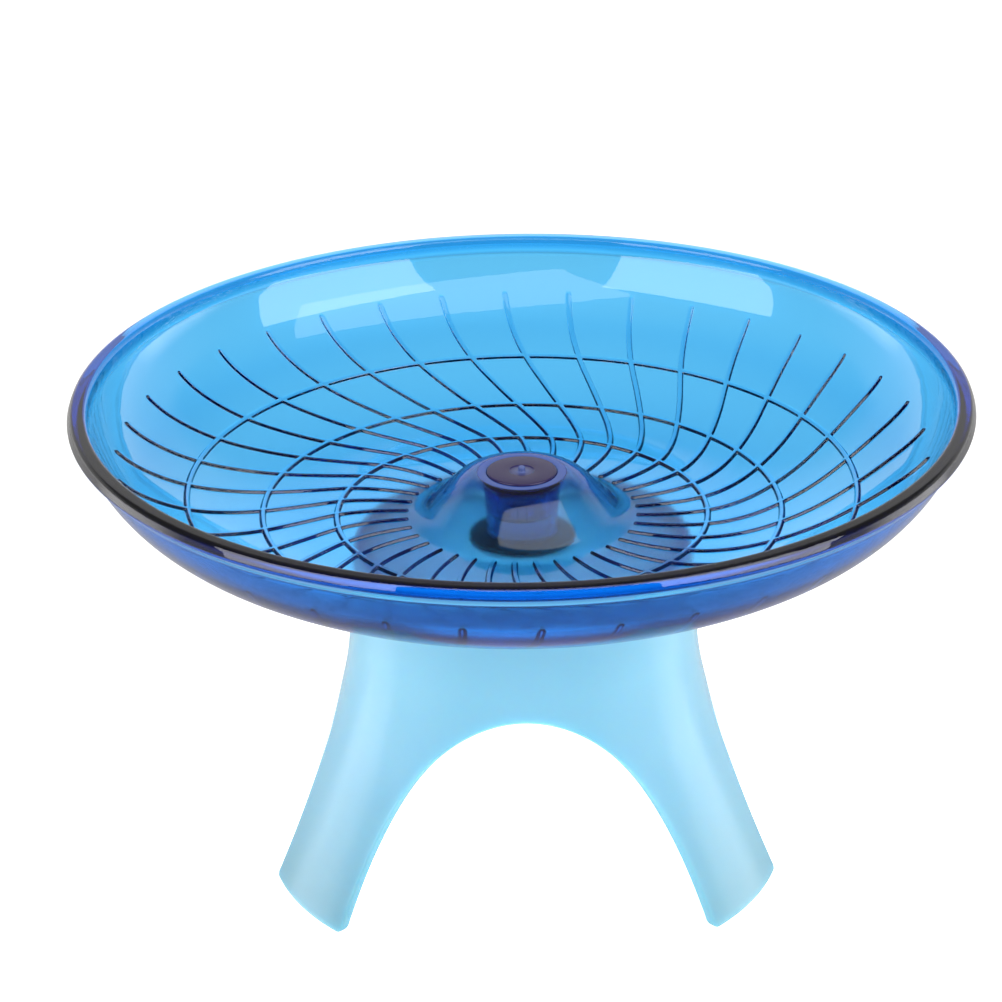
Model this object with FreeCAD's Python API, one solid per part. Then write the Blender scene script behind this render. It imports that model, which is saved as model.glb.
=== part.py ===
import FreeCAD, Part
import math
import os

# Small animal running disc: a shallow clear dish that turns on a three-legged
# stand. Millimetres, +Z up, origin on the ground under the dish's axis.

V = FreeCAD.Vector

# ---------------------------------------------------------------- dimensions
# dish
RIM_R = 90.66           # outermost radius of the lip
RIM_TOP = 103.25        # highest point of the lip above the ground
FLOOR_Z = 76.1          # running surface at the middle of the dish
FLOOR_R = 40.0          # flat floor out to here
DISH_T = 2.0            # thickness of the floor and the hub
WALL_ARC = 63.5         # section radius of the wall's wide lower sweep, inside
WALL_TURN = 36.0        # slope where the tighter upper sweep begins, degrees
BEND_ARC = 25.0         # section radius of the upper sweep, inside
BEND_TURN = 67.6        # slope where the wall turns up into the lip
LIP_BEND = 12.0         # section radius of that last turn, inside
BAND_TURN = 80.4        # slope of the short straight band under the lip
OUT_ARC = 67.66         # lower sweep, outside
OUT_ARC_C = (40.35, 141.76)
OUT_BEND_C = (60.10, 109.97)     # centre of the upper sweep, outside
LIP_R = 1.0             # section radius of the lip's inner corner
EDGE_R = 1.08           # section radius of the lip's outer top edge
EDGE_C = (89.24, 102.10)
NOSE_R = 0.8            # section radius of the lip's outermost edge
NOSE_Z = 101.39         # height of that edge's centre
NOSE_END = -46.4        # where the underside of the lip begins, degrees
LIP_FILLET = 2.32       # hollow between the lip and the outer wall

# tread
RIB_N = 36              # spiral ribs
RIB_W = 1.25            # rib width
RIB_H = 0.5             # rib height above the running surface
RIB_SINK = 0.35         # how far a rib's root reaches into the wall
RIB_R0 = 23.2           # inner end of a spiral rib
RIB_R1 = 81.8           # outer end of a spiral rib
RIB_PHASE = 5.8         # azimuth of a rib's inner end, degrees
RING_R = (37.7, 52.7, 67.8)      # ring ribs
# azimuth gained along a spiral rib, degrees, at each radius
SPIRAL = ((23.2, 0.0), (30.0, 1.1), (37.7, 4.2), (45.2, 9.3), (52.7, 14.6),
          (60.2, 19.1), (67.8, 22.9), (75.0, 25.2), (81.8, 26.2))

# hub of the dish
CROWN_Z = 85.3          # flat crown round the cap
CROWN_R = 8.5
SHOULDER_ARC = 8.0      # convex shoulder
FLARE_ARC = 6.0         # concave flare down to the floor
FLARE_R = 23.5          # where the flare meets the floor
BOSS_R = 7.35           # outside of the boss under the crown
BOSS_Z0 = 72.0          # foot of the boss
SEAT_R = 5.5            # bearing seat
WELL_R = 4.8            # nut well above the bearing
CAP_SEAT_R = 7.22       # recess for the cap
CAP_SEAT_Z = 83.7

# cap
CAP_R = 7.15
CAP_Z = 85.6            # top of the cap
PLUG_R = 4.75
PLUG_RI = 3.6
PLUG_H = 2.2
NUB_R = 0.7
NUB_H = 0.9

# bearing, 4 x 11 x 4
BRG_Z = 74.4            # mid plane
BRG_W = 4.0
BRG_RI = 2.0
BRG_RO = 5.49
BALL_R = 1.0
BALL_N = 7
PITCH_R = 3.75
GROOVE = 1.03           # section radius of both ball tracks
LAND_I = 3.0            # inner race outside
LAND_O = 4.5            # outer race inside
SHIELD_SEAT_R = 4.78
SHIELD_RO = 4.74
SHIELD_RI = 3.2
SHIELD_T = 0.25
CAGE_RI = 3.32
CAGE_RO = 4.2

# axle
BOLT_R = 1.97
BOLT_HEAD_AF = 7.0
BOLT_HEAD_H = 2.8
WASHER_R = 4.5
WASHER_T = 0.8
NUT_AF = 7.0
NUT_H = 3.2
NUT_BORE = 2.0
BOLT_TIP = 81.2

# spacer
SPACER_R = 10.8
SPACER_TOP = 71.65      # top of the flange
SPACER_NECK_R = 2.85
SPACER_BORE = 2.03

# stand
DECK_Z = 69.5           # top of the deck
DECK_T = 2.4
DECK_PAD_R = 9.0        # thicker middle of the deck
DECK_PAD_Z = 66.0
DECK_BORE = 2.15
STAND_T = 2.2           # wall thickness
FOOT_R = 54.0           # outside radius on the ground
KNEE_Z = 26.0           # straight flare up to here
KNEE_R = 42.04
NECK_Z = 50.0           # top of the concave bend
NECK_R = 35.9
TOP_Z = 68.0
TOP_R = 34.6
ARCH_TOP = 46.7         # crown of each arch above the ground
ARCH_K = 0.0291         # drop = ARCH_K * x * x
ARCH_FOOT_X = 38.3      # half width of the arch on the ground
LEG_N = 3


# ------------------------------------------------------------------- helpers
def P(r, z):
    return V(r, 0, z)


def line(a, b):
    return Part.LineSegment(P(*a), P(*b)).toShape()


def arc(a, m, b):
    return Part.Arc(P(*a), P(*m), P(*b)).toShape()


def arc_c(c, rad, a0, a1):
    """Arc about c from angle a0 to a1 in degrees."""
    am = 0.5 * (a0 + a1)
    q = [(c[0] + rad * math.cos(math.radians(t)), c[1] + rad * math.sin(math.radians(t)))
         for t in (a0, am, a1)]
    return arc(*q)


def revolve(edges):
    wire = Part.Wire(Part.__sortEdges__(edges))
    face = Part.Face(wire)
    solid = face.revolve(V(0, 0, 0), V(0, 0, 1), 360)
    if solid.ShapeType != "Solid":
        solid = solid.Solids[0]
    if solid.Volume < 0:
        solid.reverse()
    return solid


def poly(points):
    n = len(points)
    return [line(points[i], points[(i + 1) % n]) for i in range(n)]


def tube(r0, r1, z0, z1):
    s = Part.makeCylinder(r1, z1 - z0, V(0, 0, z0))
    if r0 > 0:
        s = s.cut(Part.makeCylinder(r0, z1 - z0 + 2, V(0, 0, z0 - 1)))
    return s


def hexagon(af, z0, h):
    r = af / 2 / math.cos(math.pi / 6)
    pts = [V(r * math.cos(math.radians(60 * i)), r * math.sin(math.radians(60 * i)), z0)
           for i in range(6)]
    f = Part.Face(Part.makePolygon(pts + [pts[0]]))
    s = f.extrude(V(0, 0, h))
    # the corners are turned down on both faces
    cone_lo = Part.makeCone(r * 0.93, r * 0.93 + h * 1.2, h, V(0, 0, z0))
    cone_hi = Part.makeCone(r * 0.93 + h * 1.2, r * 0.93, h, V(0, 0, z0))
    return s.common(cone_lo).common(cone_hi)


def polar(c, rad, deg):
    return (c[0] + rad * math.cos(math.radians(deg)), c[1] + rad * math.sin(math.radians(deg)))


def tangent(a, ra, b, rb):
    """Direction, in degrees, of the touch points of the line over two circles."""
    d = (b[0] - a[0], b[1] - a[1])
    return math.degrees(math.atan2(d[1], d[0]) + math.acos((ra - rb) / math.hypot(*d)))


# centres of the wall's two inner sweeps, which share a tangent at WALL_TURN
SWEEP_C = (FLOOR_R, FLOOR_Z + WALL_ARC)
BEND_C = polar(SWEEP_C, WALL_ARC - BEND_ARC, WALL_TURN - 90)
SWEEP_END_R = polar(SWEEP_C, WALL_ARC, WALL_TURN - 90)[0]


def sweep(r):
    """Centre and section radius of the wall's sweep at radius r."""
    return (SWEEP_C, WALL_ARC) if r <= SWEEP_END_R else (BEND_C, BEND_ARC)


def wall_z(r):
    """Height of the running surface."""
    if r <= FLOOR_R:
        return FLOOR_Z
    c, rad = sweep(r)
    return c[1] - math.sqrt(rad ** 2 - (r - c[0]) ** 2)


def wall_pt(r, off):
    """Point at radius r of the running surface, moved off along its normal."""
    z = wall_z(r)
    if r <= FLOOR_R:
        return (r, z + off)
    c, rad = sweep(r)
    k = (rad - off) / rad
    return (c[0] + (r - c[0]) * k, c[1] + (z - c[1]) * k)


def spiral_deg(r):
    """Azimuth gained along a rib at radius r, smooth through the table."""
    t = SPIRAL
    n = len(t)
    h = [t[i + 1][0] - t[i][0] for i in range(n - 1)]
    d = [(t[i + 1][1] - t[i][1]) / h[i] for i in range(n - 1)]
    m = [0.0] * n
    m[0] = 0.05
    m[-1] = d[-1] * 0.6
    for i in range(1, n - 1):
        m[i] = (h[i - 1] * d[i] + h[i] * d[i - 1]) / (h[i - 1] + h[i])
    r = min(max(r, t[0][0]), t[-1][0])
    i = 0
    while i < n - 2 and r > t[i + 1][0]:
        i += 1
    s = (r - t[i][0]) / h[i]
    return ((2 * s ** 3 - 3 * s ** 2 + 1) * t[i][1] + (s ** 3 - 2 * s ** 2 + s) * h[i] * m[i]
            + (-2 * s ** 3 + 3 * s ** 2) * t[i + 1][1] + (s ** 3 - s ** 2) * h[i] * m[i + 1])


# ---------------------------------------------------------------------- dish
def dish_shell():
    c45 = math.sqrt(0.5)
    cs = (CROWN_R, CROWN_Z - SHOULDER_ARC)          # centre of the shoulder arcs
    cf = (FLARE_R, FLOOR_Z + FLARE_ARC)             # centre of the flare arcs
    a1 = (cs[0] + SHOULDER_ARC * c45, cs[1] + SHOULDER_ARC * c45)
    b1 = (cf[0] - FLARE_ARC * c45, cf[1] - FLARE_ARC * c45)
    so = SHOULDER_ARC - DISH_T
    fo = FLARE_ARC + DISH_T
    a2 = (cs[0] + so * c45, cs[1] + so * c45)
    b2 = (cf[0] - fo * c45, cf[1] - fo * c45)
    # the straight band above the bends, and the lip's inner corner on top of it
    rise = polar(BEND_C, BEND_ARC - LIP_BEND, BEND_TURN - 90)
    band0 = polar(rise, LIP_BEND, BAND_TURN - 90)
    t = (math.cos(math.radians(BAND_TURN)), math.sin(math.radians(BAND_TURN)))
    lip_z = RIM_TOP - LIP_R
    k = (lip_z + LIP_R * t[0] - band0[1]) / t[1]
    band1 = (band0[0] + t[0] * k, band0[1] + t[1] * k)
    lip = (band1[0] + LIP_R * t[1], lip_z)
    # the lip's top slopes gently to its outer edge, and its face on to the nose
    nose = (RIM_R - NOSE_R, NOSE_Z)
    top = tangent(lip, LIP_R, EDGE_C, EDGE_R)
    face = tangent(EDGE_C, EDGE_R, nose, NOSE_R)
    # underside of the lip, then a hollow fillet into the outer wall
    out_bend = OUT_ARC - math.dist(OUT_ARC_C, OUT_BEND_C)
    turn_o = math.degrees(math.atan2(OUT_BEND_C[1] - OUT_ARC_C[1], OUT_BEND_C[0] - OUT_ARC_C[0]))
    pe = polar(nose, NOSE_R, NOSE_END)
    u = (math.sin(math.radians(NOSE_END)), -math.cos(math.radians(NOSE_END)))
    w = (pe[0] - LIP_FILLET * u[1] - OUT_BEND_C[0], pe[1] + LIP_FILLET * u[0] - OUT_BEND_C[1])
    wu = w[0] * u[0] + w[1] * u[1]
    s = -wu - math.sqrt(wu ** 2 - (w[0] ** 2 + w[1] ** 2) + (out_bend + LIP_FILLET) ** 2)
    f1 = (pe[0] + u[0] * s, pe[1] + u[1] * s)
    hollow = (f1[0] - LIP_FILLET * u[1], f1[1] + LIP_FILLET * u[0])
    ang_f = math.degrees(math.atan2(hollow[1] - OUT_BEND_C[1], hollow[0] - OUT_BEND_C[0]))
    fil = CROWN_R - BOSS_R                          # fillet between boss and crown
    zu = CROWN_Z - DISH_T
    e = []
    e.append(line((WELL_R, CAP_SEAT_Z), (CAP_SEAT_R, CAP_SEAT_Z)))
    e.append(line((CAP_SEAT_R, CAP_SEAT_Z), (CAP_SEAT_R, CROWN_Z)))
    e.append(line((CAP_SEAT_R, CROWN_Z), (CROWN_R, CROWN_Z)))
    e.append(arc_c(cs, SHOULDER_ARC, 90, 45))
    e.append(line(a1, b1))
    e.append(arc_c(cf, FLARE_ARC, 225, 270))
    e.append(line((FLARE_R, FLOOR_Z), (FLOOR_R, FLOOR_Z)))
    e.append(arc_c(SWEEP_C, WALL_ARC, -90, WALL_TURN - 90))
    e.append(arc_c(BEND_C, BEND_ARC, WALL_TURN - 90, BEND_TURN - 90))
    e.append(arc_c(rise, LIP_BEND, BEND_TURN - 90, BAND_TURN - 90))
    e.append(line(band0, band1))
    e.append(arc_c(lip, LIP_R, BAND_TURN + 90, top))
    e.append(line(polar(lip, LIP_R, top), polar(EDGE_C, EDGE_R, top)))
    e.append(arc_c(EDGE_C, EDGE_R, top, face))
    e.append(line(polar(EDGE_C, EDGE_R, face), polar(nose, NOSE_R, face)))
    e.append(arc_c(nose, NOSE_R, face, NOSE_END))
    e.append(line(pe, f1))
    e.append(arc_c(hollow, LIP_FILLET, NOSE_END + 180, ang_f + 180))
    e.append(arc_c(OUT_BEND_C, out_bend, ang_f, turn_o))
    e.append(arc_c(OUT_ARC_C, OUT_ARC, turn_o, -90))
    e.append(line((OUT_ARC_C[0], FLOOR_Z - DISH_T), (FLARE_R, FLOOR_Z - DISH_T)))
    e.append(arc_c(cf, fo, 270, 225))
    e.append(line(b2, a2))
    e.append(arc_c(cs, so, 45, 90))
    e.append(arc_c((CROWN_R, zu - fil), fil, 90, 180))
    e.append(line((BOSS_R, zu - fil), (BOSS_R, BOSS_Z0 + 0.4)))
    e.append(line((BOSS_R, BOSS_Z0 + 0.4), (BOSS_R - 0.4, BOSS_Z0)))
    e.append(line((BOSS_R - 0.4, BOSS_Z0), (SEAT_R + 0.2, BOSS_Z0)))
    e.append(line((SEAT_R + 0.2, BOSS_Z0), (SEAT_R, BOSS_Z0 + 0.2)))
    e.append(line((SEAT_R, BOSS_Z0 + 0.2), (SEAT_R, BRG_Z + BRG_W / 2)))
    e.append(line((SEAT_R, BRG_Z + BRG_W / 2), (WELL_R, BRG_Z + BRG_W / 2)))
    e.append(line((WELL_R, BRG_Z + BRG_W / 2), (WELL_R, CAP_SEAT_Z)))
    return revolve(e)


def ring_rib(r):
    """A ring rib: a low round-topped section on the running surface."""
    def at(dr, off):
        p = wall_pt(r, off)
        if r <= FLOOR_R:
            t = (1.0, 0.0)
        else:
            d = r - FLOOR_R
            c = WALL_ARC - (wall_z(r) - FLOOR_Z)
            t = (c / WALL_ARC, d / WALL_ARC)
        return (p[0] + t[0] * dr, p[1] + t[1] * dr)
    w = RIB_W / 2
    a, b = at(-w, -RIB_SINK), at(w, -RIB_SINK)
    c, d = at(w, RIB_H * 0.45), at(-w, RIB_H * 0.45)
    m = at(0, RIB_H)
    return revolve([line(a, b), line(b, c), arc(c, m, d), line(d, a)])


def rib_layer():
    """The layer in which the spiral ribs lie."""
    r0, r1 = RIB_R0 - 2.0, RIB_R1 + 2.0
    hi, lo = RIB_H, -RIB_SINK
    ph = wall_pt(r1, hi)
    pl = wall_pt(r1, lo)
    at = WALL_TURN - 90
    ah = math.degrees(math.atan2(ph[1] - BEND_C[1], ph[0] - BEND_C[0]))
    return revolve([
        line((r0, FLOOR_Z + lo), (FLOOR_R, FLOOR_Z + lo)),
        arc_c(SWEEP_C, WALL_ARC - lo, -90, at),
        arc_c(BEND_C, BEND_ARC - lo, at, ah),
        line(pl, ph),
        arc_c(BEND_C, BEND_ARC - hi, ah, at),
        arc_c(SWEEP_C, WALL_ARC - hi, at, -90),
        line((FLOOR_R, FLOOR_Z + hi), (r0, FLOOR_Z + hi)),
        line((r0, FLOOR_Z + hi), (r0, FLOOR_Z + lo))])


def spiral_rib(layer):
    """One spiral rib: its plan outline with round ends, cut from the layer."""
    w = RIB_W / 2
    n = 15
    mid = []
    for i in range(n):
        r = RIB_R0 + w + (RIB_R1 - w - RIB_R0 - w) * i / (n - 1)
        a = math.radians(RIB_PHASE + spiral_deg(r))
        mid.append((r * math.cos(a), r * math.sin(a)))
    left, right = [], []
    for i in range(n):
        a = mid[max(i - 1, 0)]
        b = mid[min(i + 1, n - 1)]
        tx, ty = b[0] - a[0], b[1] - a[1]
        k = math.hypot(tx, ty)
        nx, ny = -ty / k, tx / k
        left.append(V(mid[i][0] + nx * w, mid[i][1] + ny * w, 70))
        right.append(V(mid[i][0] - nx * w, mid[i][1] - ny * w, 70))

    def spline(pts):
        s = Part.BSplineCurve()
        s.interpolate(pts)
        return s.toShape()

    def end(i, j):
        tx, ty = mid[i][0] - mid[j][0], mid[i][1] - mid[j][1]
        k = math.hypot(tx, ty)
        m = V(mid[i][0] + tx / k * w, mid[i][1] + ty / k * w, 70)
        return Part.Arc(left[i], m, right[i]).toShape()

    wire = Part.Wire(Part.__sortEdges__([spline(left), end(n - 1, n - 2), spline(right), end(0, 1)]))
    prism = Part.Face(wire).extrude(V(0, 0, 40))
    rib = prism.common(layer)
    return rib.Solids[0]


def running_dish():
    shell = dish_shell()
    rib = spiral_rib(rib_layer())
    tools = [ring_rib(r) for r in RING_R]
    for i in range(RIB_N):
        c = rib.copy()
        c.rotate(V(0, 0, 0), V(0, 0, 1), 360.0 * i / RIB_N)
        tools.append(c)
    out = shell.multiFuse(tools)
    out = out.removeSplitter()
    return out.Solids[0]


# ----------------------------------------------------------------------- cap
def hub_cap():
    ed = 0.5
    disc = revolve([
        line((PLUG_RI, CAP_SEAT_Z), (CAP_R, CAP_SEAT_Z)),
        line((CAP_R, CAP_SEAT_Z), (CAP_R, CAP_Z - ed)),
        arc_c((CAP_R - ed, CAP_Z - ed), ed, 0, 90),
        line((CAP_R - ed, CAP_Z), (2.6, CAP_Z)),
        # a shallow dimple round the gate nub
        line((2.6, CAP_Z), (2.35, CAP_Z - 0.15)),
        line((2.35, CAP_Z - 0.15), (NUB_R, CAP_Z - 0.15)),
        line((NUB_R, CAP_Z - 0.15), (NUB_R, CAP_Z + NUB_H - 0.35)),
        arc_c((NUB_R - 0.35, CAP_Z + NUB_H - 0.35), 0.35, 0, 90),
        line((NUB_R - 0.35, CAP_Z + NUB_H), (0, CAP_Z + NUB_H)),
        line((0, CAP_Z + NUB_H), (0, CAP_SEAT_Z)),
        line((0, CAP_SEAT_Z), (PLUG_RI, CAP_SEAT_Z))])
    skirt = revolve(poly([(PLUG_RI, CAP_SEAT_Z + 0.3), (PLUG_R, CAP_SEAT_Z + 0.3),
                          (PLUG_R, CAP_SEAT_Z - PLUG_H + 0.3), (PLUG_R - 0.3, CAP_SEAT_Z - PLUG_H),
                          (PLUG_RI, CAP_SEAT_Z - PLUG_H)]))
    return disc.fuse(skirt).removeSplitter().Solids[0]


# ------------------------------------------------------------------- bearing
def track(s):
    """The ball track that both races carry."""
    return s.cut(Part.makeTorus(PITCH_R, GROOVE, V(0, 0, BRG_Z), V(0, 0, 1)))


def outer_race():
    h = BRG_W / 2
    seat = 0.4
    s = revolve(poly([(LAND_O, BRG_Z - h + seat), (SHIELD_SEAT_R, BRG_Z - h + seat),
                      (SHIELD_SEAT_R, BRG_Z - h), (BRG_RO - 0.15, BRG_Z - h),
                      (BRG_RO, BRG_Z - h + 0.15), (BRG_RO, BRG_Z + h - 0.15),
                      (BRG_RO - 0.15, BRG_Z + h), (SHIELD_SEAT_R, BRG_Z + h),
                      (SHIELD_SEAT_R, BRG_Z + h - seat), (LAND_O, BRG_Z + h - seat)]))
    return track(s)


def inner_race():
    h = BRG_W / 2
    c = 0.15
    s = revolve(poly([(BRG_RI, BRG_Z - h + c), (BRG_RI + c, BRG_Z - h), (LAND_I, BRG_Z - h),
                      (LAND_I, BRG_Z + h), (BRG_RI + c, BRG_Z + h), (BRG_RI, BRG_Z + h - c)]))
    return track(s)


def ball_centres():
    return [V(PITCH_R * math.cos(2 * math.pi * i / BALL_N),
              PITCH_R * math.sin(2 * math.pi * i / BALL_N), BRG_Z) for i in range(BALL_N)]


def balls():
    return Part.Compound([Part.makeSphere(BALL_R, c) for c in ball_centres()])


def cage():
    s = tube(CAGE_RI, CAGE_RO, BRG_Z - 0.6, BRG_Z + 1.45)
    for c in ball_centres():
        s = s.cut(Part.makeSphere(BALL_R + 0.05, c))
    return s.Solids[0]


def shields():
    h = BRG_W / 2
    lo = tube(SHIELD_RI, SHIELD_RO, BRG_Z - h + 0.13, BRG_Z - h + 0.13 + SHIELD_T)
    hi = tube(SHIELD_RI, SHIELD_RO, BRG_Z + h - 0.13 - SHIELD_T, BRG_Z + h - 0.13)
    return Part.Compound([lo, hi])


# ---------------------------------------------------------------------- axle
def axle_bolt():
    z = DECK_PAD_Z - WASHER_T
    head = hexagon(BOLT_HEAD_AF, z - BOLT_HEAD_H, BOLT_HEAD_H)
    shank = revolve(poly([(0, z - 0.5), (BOLT_R, z - 0.5), (BOLT_R, BOLT_TIP - 0.5),
                          (BOLT_R - 0.5, BOLT_TIP), (0, BOLT_TIP)]))
    return head.fuse(shank).removeSplitter().Solids[0]


def bolt_washer():
    return tube(DECK_BORE, WASHER_R, DECK_PAD_Z - WASHER_T, DECK_PAD_Z)


def lock_nut():
    z = BRG_Z + BRG_W / 2
    n = hexagon(NUT_AF, z, NUT_H)
    return n.cut(Part.makeCylinder(NUT_BORE, NUT_H + 2, V(0, 0, z - 1)))


def thrust_spacer():
    z1 = BRG_Z - BRG_W / 2
    return revolve(poly([(SPACER_BORE, DECK_Z), (SPACER_R - 0.4, DECK_Z), (SPACER_R, DECK_Z + 0.4),
                         (SPACER_R, SPACER_TOP - 0.5), (SPACER_R - 0.5, SPACER_TOP),
                         (SPACER_NECK_R, SPACER_TOP), (SPACER_NECK_R, z1), (SPACER_BORE, z1)]))


# --------------------------------------------------------------------- stand
def stand_profile():
    """Outer and inner section of the stand's round shell."""
    phi0 = math.atan2(FOOT_R - KNEE_R, KNEE_Z)      # slope of the flare from the vertical
    phi1 = math.atan2(NECK_R - TOP_R, TOP_Z - NECK_Z)
    rho = (NECK_Z - KNEE_Z) / (math.sin(phi0) - math.sin(phi1))
    c = (KNEE_R + rho * math.cos(phi0), KNEE_Z + rho * math.sin(phi0))
    a0, a1 = 180 + math.degrees(phi0), 180 + math.degrees(phi1)
    neck = (c[0] - rho * math.cos(phi1), c[1] - rho * math.sin(phi1))
    return phi0, phi1, rho, c, a0, a1, neck


def stand():
    phi0, phi1, rho, c, a0, a1, neck = stand_profile()
    t = STAND_T
    er = 1.5                                        # rounded edge of the deck
    top = (neck[0] - (DECK_Z - er - neck[1]) * math.tan(phi1), DECK_Z - er)
    knee = (KNEE_R, KNEE_Z)
    # inner line of the wall
    ri = rho + t
    knee_i = (c[0] - ri * math.cos(phi0), c[1] - ri * math.sin(phi0))
    neck_i = (c[0] - ri * math.cos(phi1), c[1] - ri * math.sin(phi1))
    foot_i = (FOOT_R - t / math.cos(phi0), 0.0)
    under = DECK_Z - DECK_T
    fi = 2.0                                        # fillet under the deck
    top_i = (neck_i[0] - (under - fi - neck_i[1]) * math.tan(phi1), under - fi)
    s2 = math.sqrt(0.5)
    e = [line((FOOT_R, 0.0), knee),
         arc_c(c, rho, a0, a1),
         line(neck, top),
         arc(top, (top[0] - er + er * s2, DECK_Z - er + er * s2), (top[0] - er, DECK_Z)),
         line((top[0] - er, DECK_Z), (DECK_BORE, DECK_Z)),
         line((DECK_BORE, DECK_Z), (DECK_BORE, DECK_PAD_Z)),
         line((DECK_BORE, DECK_PAD_Z), (DECK_PAD_R, DECK_PAD_Z)),
         line((DECK_PAD_R, DECK_PAD_Z), (DECK_PAD_R + 0.6, under)),
         line((DECK_PAD_R + 0.6, under), (top_i[0] - fi, under)),
         arc((top_i[0] - fi, under), (top_i[0] - fi + fi * s2, under - fi + fi * s2), top_i),
         line(top_i, neck_i),
         arc_c(c, ri, a1, a0),
         line(knee_i, foot_i),
         line(foot_i, (FOOT_R, 0.0))]
    shell = revolve(e)
    # one arch: its sides stand square to the shell, so its outline opens in
    # proportion to the distance from the axis
    def outer_r(z):
        if z <= KNEE_Z:
            return FOOT_R - z * math.tan(phi0)
        if z >= neck[1]:
            return neck[0] - (z - neck[1]) * math.tan(phi1)
        return c[0] - math.sqrt(rho ** 2 - (z - c[1]) ** 2)

    def arch_z(x):
        return ARCH_TOP - ARCH_K * x * x * (1 + 0.10 * (x / ARCH_FOOT_X) ** 4)

    def outline(y):
        n = 8
        xe = ARCH_FOOT_X - 0.6
        pts = []
        for i in range(-n, n + 1):
            x = xe * math.sin(0.5 * math.pi * i / n) if abs(i) < n else math.copysign(xe, i)
            z = arch_z(x)
            k = math.tan(math.asin(x / outer_r(z)))
            pts.append(V(y * k, -y, z))
        s = Part.BSplineCurve()
        s.interpolate(pts)
        edges = [s.toShape()]
        kx = math.tan(math.asin(xe / outer_r(arch_z(xe))))
        z0 = arch_z(xe)
        # the corners of the feet are rounded off
        q = 1.3 / FOOT_R
        cor = [(kx, z0), (kx + q * 0.35, z0 * 0.42), (kx + q * 0.75, z0 * 0.12), (kx + q * 1.4, 0.0)]
        for sg in (1, -1):
            b = Part.BSplineCurve()
            b.interpolate([V(sg * y * k, -y, z) for k, z in cor])
            edges.append(b.toShape())
        e = [V(sg * y * cor[-1][0], -y, z) for sg, z in ((1, 0.0), (1, -3.0), (-1, -3.0), (-1, 0.0))]
        edges += [Part.LineSegment(e[0], e[1]).toShape(), Part.LineSegment(e[1], e[2]).toShape(),
                  Part.LineSegment(e[2], e[3]).toShape()]
        return Part.Wire(Part.__sortEdges__(edges))

    cutter = Part.makeLoft([outline(20.0), outline(70.0)], True, True)
    for i in range(LEG_N):
        k = cutter.copy()
        k.rotate(V(0, 0, 0), V(0, 0, 1), 360.0 * i / LEG_N)
        shell = shell.cut(k)
    return shell.Solids[0]


# --------------------------------------------------------------------- output
PARTS = [
    ("running_dish", running_dish),
    ("hub_cap", hub_cap),
    ("bearing_outer_race", outer_race),
    ("bearing_inner_race", inner_race),
    ("bearing_balls", balls),
    ("bearing_cage", cage),
    ("bearing_shields", shields),
    ("axle_bolt", axle_bolt),
    ("bolt_washer", bolt_washer),
    ("lock_nut", lock_nut),
    ("thrust_spacer", thrust_spacer),
    ("stand", stand),
]

os.makedirs("parts", exist_ok=True)
for name, make in PARTS:
    shape = make()
    b = shape.BoundBox
    print("%-20s solids %d valid %s vol %.1f  x %.2f..%.2f y %.2f..%.2f z %.2f..%.2f" % (
        name, len(shape.Solids), shape.isValid(), shape.Volume,
        b.XMin, b.XMax, b.YMin, b.YMax, b.ZMin, b.ZMax))
    shape.exportStep("parts/%s.step" % name)
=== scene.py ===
import math

import bpy
from mathutils import Matrix, Quaternion, Vector


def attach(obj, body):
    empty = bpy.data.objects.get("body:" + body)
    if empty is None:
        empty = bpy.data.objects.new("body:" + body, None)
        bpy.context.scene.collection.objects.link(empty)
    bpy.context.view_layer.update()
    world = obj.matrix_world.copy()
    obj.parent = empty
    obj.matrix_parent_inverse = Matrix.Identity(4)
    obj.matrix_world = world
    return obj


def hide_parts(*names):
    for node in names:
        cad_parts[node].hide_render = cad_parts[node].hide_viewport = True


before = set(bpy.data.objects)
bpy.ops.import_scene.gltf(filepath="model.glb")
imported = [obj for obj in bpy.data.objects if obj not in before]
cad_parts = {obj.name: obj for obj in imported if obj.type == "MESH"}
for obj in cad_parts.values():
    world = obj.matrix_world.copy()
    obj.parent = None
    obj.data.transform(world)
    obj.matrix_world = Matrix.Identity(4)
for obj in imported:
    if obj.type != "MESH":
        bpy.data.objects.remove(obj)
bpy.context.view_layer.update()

MM = 0.001
scene = bpy.context.scene


# =============================================================== small helpers
def new_object(name, verts, faces, smooth=True):
    mesh = bpy.data.meshes.new(name)
    mesh.from_pydata([tuple(c * MM for c in v) for v in verts], [], faces)
    mesh.validate()
    mesh.update()
    for p in mesh.polygons:
        p.use_smooth = smooth
    obj = bpy.data.objects.new(name, mesh)
    scene.collection.objects.link(obj)
    return obj


def arc_pts(c, rad, a0, a1, n, first=True):
    """Points on an arc about c, from a0 to a1 degrees."""
    out = []
    for i in range(0 if first else 1, n + 1):
        a = math.radians(a0 + (a1 - a0) * i / n)
        out.append((c[0] + rad * math.cos(a), c[1] + rad * math.sin(a)))
    return out


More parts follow.
